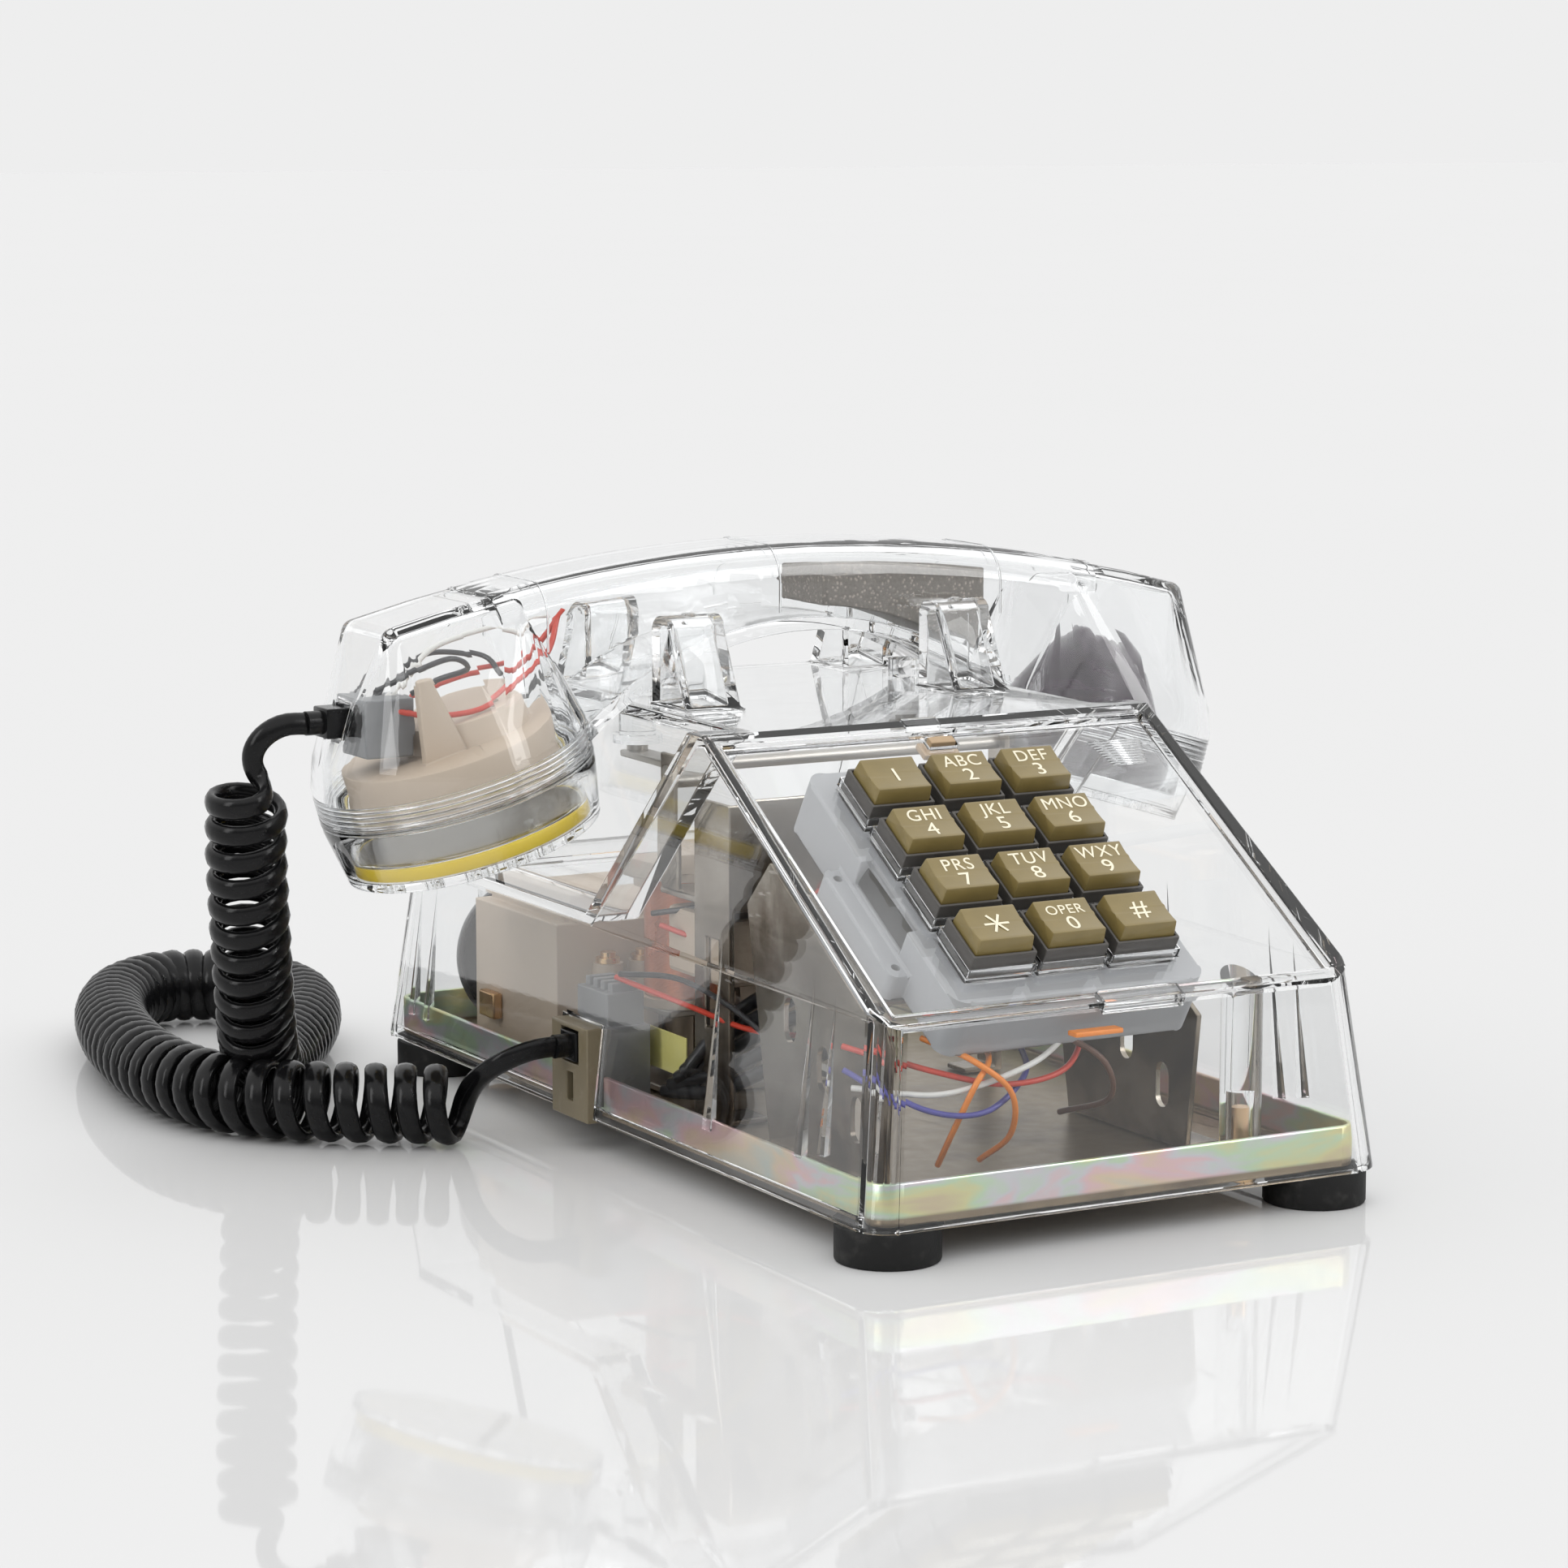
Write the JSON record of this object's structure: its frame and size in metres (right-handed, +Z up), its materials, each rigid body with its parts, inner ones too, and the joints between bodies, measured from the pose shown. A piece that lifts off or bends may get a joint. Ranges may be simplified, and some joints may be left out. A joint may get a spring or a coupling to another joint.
{
  "type": "push-button desk telephone",
  "caption": "Desk telephone with a clear see-through shell, sloped push-button keypad, and a handset in its cradle on a black curly cord.",
  "frame": {"origin": "on the table under the middle of the telephone's base, feet on z = 0", "axes": "+X to the telephone's right as the user faces the keys, +Y towards its rear, +Z up; the key face is at -Y"},
  "size_m": [0.252, 0.3162, 0.131],
  "materials": {
    "clear_shell": "clear moulded acrylic, polished",
    "grey_frame": "translucent smoke-grey moulding",
    "dark_collar": "dark grey moulding",
    "key_bronze": "olive-bronze keys with cream legends",
    "chromate_steel": "yellow zinc-chromate steel",
    "plain_steel": "bare sheet steel",
    "black_rubber": "black rubber",
    "beige_plastic": "beige moulding",
    "copper_winding": "enamelled copper wire under film",
    "grey_plastic": "grey moulding",
    "olive_plastic": "olive-brown moulding",
    "green_board": "circuit board",
    "grey_silicone": "grey silicone",
    "brass_screw": "brass and coppery screws",
    "gong_metal": "grey gong metal",
    "dark_capsule": "dark phenolic capsule",
    "weight_metal": "speckled pressed weight",
    "yellow_gasket": "yellow gasket",
    "black_cord": "glossy black cord"
  },
  "bodies": {
    "root": {"housing": "clear_shell", "faceplate": "clear_shell", "faceplate_clip": "beige_plastic", "base_pan": "chromate_steel", "rubber_feet": "black_rubber", "foot_rivets": "brass_screw", "housing_screws": "brass_screw", "keypad_frame": "grey_frame", "key_collars": "dark_collar", "dome_sheet": "grey_silicone", "keypad_board": "green_board", "keypad_back": "plain_steel", "keypad_bracket_left": "plain_steel", "keypad_bracket_right": "plain_steel", "keypad_screws": "brass_screw", "network_block": "beige_plastic", "network_terminals": "brass_screw", "ringer_frame": "plain_steel", "ringer_bobbin": "beige_plastic", "ringer_winding": "copper_winding", "gongs": "gong_metal", "gong_screws": "brass_screw", "hookswitch_frame": "plain_steel", "hookswitch_contacts": "beige_plastic", "handset_jack": "grey_plastic", "handset_jack_strip": "olive_plastic", "line_jack": "grey_plastic", "line_jack_strip": "olive_plastic", "base_plug": "black_cord", "cord_upper_lead": "black_cord", "curly_cord": "black_cord", "cord_lower_lead": "black_cord"},
    "hook_plungers": {"hook_plungers": "clear_shell"},
    "hook_bail": {"hook_bail": "plain_steel"},
    "clapper": {"clapper": "brass_screw"},
    "volume_wheel": {"volume_wheel": "dark_collar"},
    "handset": {"handset_shell": "clear_shell", "transmitter_cap": "clear_shell", "receiver_cap": "clear_shell", "transmitter_cup": "beige_plastic", "transmitter_capsule": "plain_steel", "cap_gasket": "yellow_gasket", "receiver_capsule": "dark_capsule", "handset_weight": "weight_metal", "handset_socket": "grey_plastic", "handset_plug": "black_cord"},
    "key_1": {"key_1": "key_bronze"},
    "key_2": {"key_2": "key_bronze"},
    "key_3": {"key_3": "key_bronze"},
    "key_4": {"key_4": "key_bronze"},
    "key_5": {"key_5": "key_bronze"},
    "key_6": {"key_6": "key_bronze"},
    "key_7": {"key_7": "key_bronze"},
    "key_8": {"key_8": "key_bronze"},
    "key_9": {"key_9": "key_bronze"},
    "key_star": {"key_star": "key_bronze"},
    "key_0": {"key_0": "key_bronze"},
    "key_hash": {"key_hash": "key_bronze"}
  },
  "joints": [
    {"name": "key_1_press", "type": "slide", "parent": "root", "child": "key_1", "axis": [0, 0.5299, -0.8481], "range_m": [0, 0.0028], "stiffness_N_per_m": 150},
    {"name": "key_2_press", "type": "slide", "parent": "root", "child": "key_2", "axis": [0, 0.5299, -0.8481], "range_m": [0, 0.0028], "stiffness_N_per_m": 150},
    {"name": "key_3_press", "type": "slide", "parent": "root", "child": "key_3", "axis": [0, 0.5299, -0.8481], "range_m": [0, 0.0028], "stiffness_N_per_m": 150},
    {"name": "key_4_press", "type": "slide", "parent": "root", "child": "key_4", "axis": [0, 0.5299, -0.8481], "range_m": [0, 0.0028], "stiffness_N_per_m": 150},
    {"name": "key_5_press", "type": "slide", "parent": "root", "child": "key_5", "axis": [0, 0.5299, -0.8481], "range_m": [0, 0.0028], "stiffness_N_per_m": 150},
    {"name": "key_6_press", "type": "slide", "parent": "root", "child": "key_6", "axis": [0, 0.5299, -0.8481], "range_m": [0, 0.0028], "stiffness_N_per_m": 150},
    {"name": "key_7_press", "type": "slide", "parent": "root", "child": "key_7", "axis": [0, 0.5299, -0.8481], "range_m": [0, 0.0028], "stiffness_N_per_m": 150},
    {"name": "key_8_press", "type": "slide", "parent": "root", "child": "key_8", "axis": [0, 0.5299, -0.8481], "range_m": [0, 0.0028], "stiffness_N_per_m": 150},
    {"name": "key_9_press", "type": "slide", "parent": "root", "child": "key_9", "axis": [0, 0.5299, -0.8481], "range_m": [0, 0.0028], "stiffness_N_per_m": 150},
    {"name": "key_star_press", "type": "slide", "parent": "root", "child": "key_star", "axis": [0, 0.5299, -0.8481], "range_m": [0, 0.0028], "stiffness_N_per_m": 150},
    {"name": "key_0_press", "type": "slide", "parent": "root", "child": "key_0", "axis": [0, 0.5299, -0.8481], "range_m": [0, 0.0028], "stiffness_N_per_m": 150},
    {"name": "key_hash_press", "type": "slide", "parent": "root", "child": "key_hash", "axis": [0, 0.5299, -0.8481], "range_m": [0, 0.0028], "stiffness_N_per_m": 150},
    {"name": "handset_lift", "type": "slide", "parent": "root", "child": "handset", "axis": [0, 0, 1], "range_m": [0, 0.06]},
    {"name": "plunger_rise", "type": "slide", "parent": "root", "child": "hook_plungers", "axis": [0, 0, 1], "range_m": [0, 0.005]},
    {"name": "bail_turn", "type": "hinge", "parent": "root", "child": "hook_bail", "pos_m": [0, 0.004, 0.084], "axis": [1, 0, 0], "range_deg": [0, 10]},
    {"name": "clapper_swing", "type": "hinge", "parent": "root", "child": "clapper", "pos_m": [0, 0.022, 0.044], "axis": [0, 0, 1], "range_deg": [-1.4, 1.4], "stiffness_Nm_per_rad": 0.002},
    {"name": "volume_turn", "type": "hinge", "parent": "root", "child": "volume_wheel", "pos_m": [0.03, 0.06, 0.018], "axis": [1, 0, 0], "range_deg": [-60, 60]}
  ],
  "couplings": [
    {"joint": "plunger_rise", "follows": "handset_lift", "ratio": 0.083333},
    {"joint": "bail_turn", "follows": "handset_lift", "rad_per_m": 2.8333}
  ]
}
